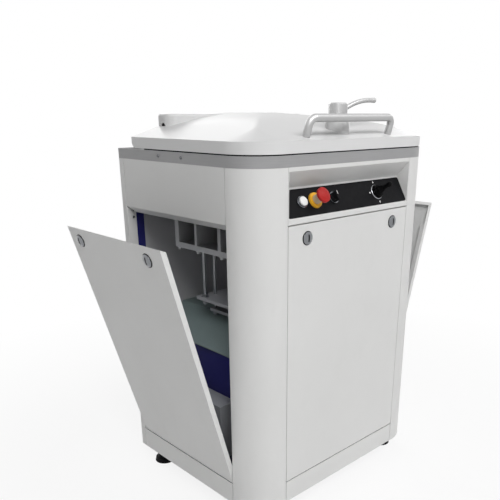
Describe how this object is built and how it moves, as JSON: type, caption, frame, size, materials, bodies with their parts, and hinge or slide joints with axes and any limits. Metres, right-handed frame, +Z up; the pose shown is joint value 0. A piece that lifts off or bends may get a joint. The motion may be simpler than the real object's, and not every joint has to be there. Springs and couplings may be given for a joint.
{
  "type": "dough_divider",
  "caption": "Floor-standing hydraulic dough divider with hinged lid and lock lever, sloping control panel, tilted service doors and a lifting press and knife grid",
  "frame": {"origin": "on the floor, under the middle of the machine's box with the side doors tilted open", "axes": "+Z up, front with the control panel faces -Y, +X to the right seen from the front"},
  "size_m": [1.0062, 0.5479, 1.0462],
  "materials": {
    "cabinet_paint": "fine-grained light grey powder coat",
    "lid_paint": "smooth white paint",
    "chassis_paint": "dark blue paint",
    "dark_paint": "dark grey paint",
    "machine_grey": "mid grey machine paint",
    "chute_paint": "grey-green paint",
    "stainless": "brushed",
    "chrome": "polished",
    "aluminium": "satin",
    "bronze": "turned",
    "seal_rubber": "matt",
    "black_plastic": "fine grain",
    "red_plastic": "smooth",
    "yellow_plastic": "smooth",
    "white_plastic": "smooth",
    "beige_plastic": "smooth"
  },
  "bodies": {
    "chassis": {"chassis_frame": "chassis_paint", "lower_housing": "chassis_paint", "scrap_chute": "chute_paint", "rear_bulkhead": "dark_paint", "left_column": "cabinet_paint", "right_column": "cabinet_paint", "left_upper_panel": "cabinet_paint", "right_upper_panel": "cabinet_paint", "rear_panel": "cabinet_paint", "plinth_strips": "cabinet_paint", "control_fascia": "cabinet_paint", "control_plate": "black_plastic", "contact_blocks": "black_plastic", "steel_band": "stainless", "deck_plate": "stainless", "band_screws": "chrome", "lid_seal": "seal_rubber", "dough_tank": "stainless", "press_frame": "machine_grey", "rod_bushes": "bronze", "frame_bolts": "chrome", "hydraulic_cylinder": "machine_grey", "power_pack": "dark_paint", "electrical_box": "machine_grey", "door_hinges": "machine_grey", "lid_hinge_brackets": "stainless", "levelling_feet": "black_plastic", "panel_bezels": "chrome", "joystick_collar": "black_plastic", "estop_collar": "yellow_plastic"},
    "start_button": {"start_button": "white_plastic"},
    "estop_stem": {"estop_stem": "beige_plastic"},
    "estop_head": {"estop_head": "red_plastic"},
    "selector": {"selector_knob": "black_plastic"},
    "joystick_gimbal": {"joystick_gimbal": "stainless"},
    "joystick_stick": {"joystick_stick": "black_plastic"},
    "lid": {"lid_shell": "lid_paint", "lid_frame": "dark_paint", "lid_liner": "white_plastic", "lid_handle": "aluminium", "lock_boss": "lid_paint"},
    "lid_lock": {"lock_lever": "aluminium", "lock_bolt": "stainless"},
    "press": {"press_pads": "white_plastic", "press_carrier": "stainless", "press_rods": "chrome", "press_crosshead": "machine_grey"},
    "knives": {"knife_grid": "stainless", "knife_rods": "chrome", "knife_crosshead": "machine_grey", "piston_rod": "chrome"},
    "left_door": {"left_door": "cabinet_paint"},
    "right_door": {"right_door": "cabinet_paint"},
    "front_panel": {"front_panel": "cabinet_paint"},
    "left_front_latch": {"left_front_latch": "chrome"},
    "left_rear_latch": {"left_rear_latch": "chrome"},
    "right_front_latch": {"right_front_latch": "chrome"},
    "right_rear_latch": {"right_rear_latch": "chrome"},
    "front_left_latch": {"front_left_latch": "chrome"},
    "front_right_latch": {"front_right_latch": "chrome"}
  },
  "joints": [
    {"name": "lid_hinge", "type": "hinge", "parent": "chassis", "child": "lid", "pos_m": [0, 0.1905, 0.978], "axis": [-1, 0, 0], "range_deg": [0, 80]},
    {"name": "lid_lock_turn", "type": "hinge", "parent": "lid", "child": "lid_lock", "pos_m": [0, -0.1815, 0.95], "axis": [0, 0, 1], "range_deg": [0, 90]},
    {"name": "press_lift", "type": "slide", "parent": "chassis", "child": "press", "axis": [0, 0, 1], "range_m": [0, 0.06]},
    {"name": "knife_lift", "type": "slide", "parent": "press", "child": "knives", "axis": [0, 0, 1], "range_m": [0, 0.022]},
    {"name": "button_press", "type": "slide", "parent": "chassis", "child": "start_button", "axis": [0, 0.866, -0.5], "range_m": [0, 0.004], "stiffness_N_per_m": 300},
    {"name": "estop_press", "type": "slide", "parent": "chassis", "child": "estop_stem", "axis": [0, 0.866, -0.5], "range_m": [0, 0.005]},
    {"name": "estop_twist", "type": "hinge", "parent": "estop_stem", "child": "estop_head", "pos_m": [-0.1225, -0.25133, 0.83498], "axis": [0, -0.866, 0.5], "range_deg": [0, 45]},
    {"name": "selector_turn", "type": "hinge", "parent": "chassis", "child": "selector", "pos_m": [-0.059, -0.23141, 0.82348], "axis": [0, -0.866, 0.5], "range_deg": [-45, 45]},
    {"name": "joystick_nod", "type": "hinge", "parent": "chassis", "child": "joystick_gimbal", "pos_m": [0.1115, -0.22968, 0.82248], "axis": [1, 0, 0], "range_deg": [-15, 15], "stiffness_Nm_per_rad": 1.5},
    {"name": "joystick_sway", "type": "hinge", "parent": "joystick_gimbal", "child": "joystick_stick", "pos_m": [0.1115, -0.22968, 0.82248], "axis": [0, 0.5, 0.866], "range_deg": [-15, 15], "stiffness_Nm_per_rad": 1.5},
    {"name": "left_door_hinge", "type": "hinge", "parent": "chassis", "child": "left_door", "pos_m": [-0.322, 0.052, 0.124], "axis": [0, -1, 0], "range_deg": [-15.5, 0]},
    {"name": "right_door_hinge", "type": "hinge", "parent": "chassis", "child": "right_door", "pos_m": [0.322, 0.052, 0.124], "axis": [0, 1, 0], "range_deg": [-15.5, 0]},
    {"name": "front_panel_hinge", "type": "hinge", "parent": "chassis", "child": "front_panel", "pos_m": [0, -0.2335, 0.124], "axis": [1, 0, 0], "range_deg": [0, 15.5]},
    {"name": "left_front_latch_turn", "type": "hinge", "parent": "left_door", "child": "left_front_latch", "pos_m": [-0.48662, -0.0875, 0.7176], "axis": [0.9636, 0, 0.2672], "range_deg": [0, 90]},
    {"name": "left_rear_latch_turn", "type": "hinge", "parent": "left_door", "child": "left_rear_latch", "pos_m": [-0.48662, 0.2075, 0.7176], "axis": [-0.9636, 0, -0.2672], "range_deg": [0, 90]},
    {"name": "right_front_latch_turn", "type": "hinge", "parent": "right_door", "child": "right_front_latch", "pos_m": [0.48662, -0.0875, 0.7176], "axis": [0.9636, 0, -0.2672], "range_deg": [0, 90]},
    {"name": "right_rear_latch_turn", "type": "hinge", "parent": "right_door", "child": "right_rear_latch", "pos_m": [0.48662, 0.2075, 0.7176], "axis": [-0.9636, 0, 0.2672], "range_deg": [0, 90]},
    {"name": "front_left_latch_turn", "type": "hinge", "parent": "front_panel", "child": "front_left_latch", "pos_m": [-0.1635, -0.2335, 0.74], "axis": [0, -1, 0], "range_deg": [0, 90]},
    {"name": "front_right_latch_turn", "type": "hinge", "parent": "front_panel", "child": "front_right_latch", "pos_m": [0.1635, -0.2335, 0.74], "axis": [0, 1, 0], "range_deg": [0, 90]}
  ]
}
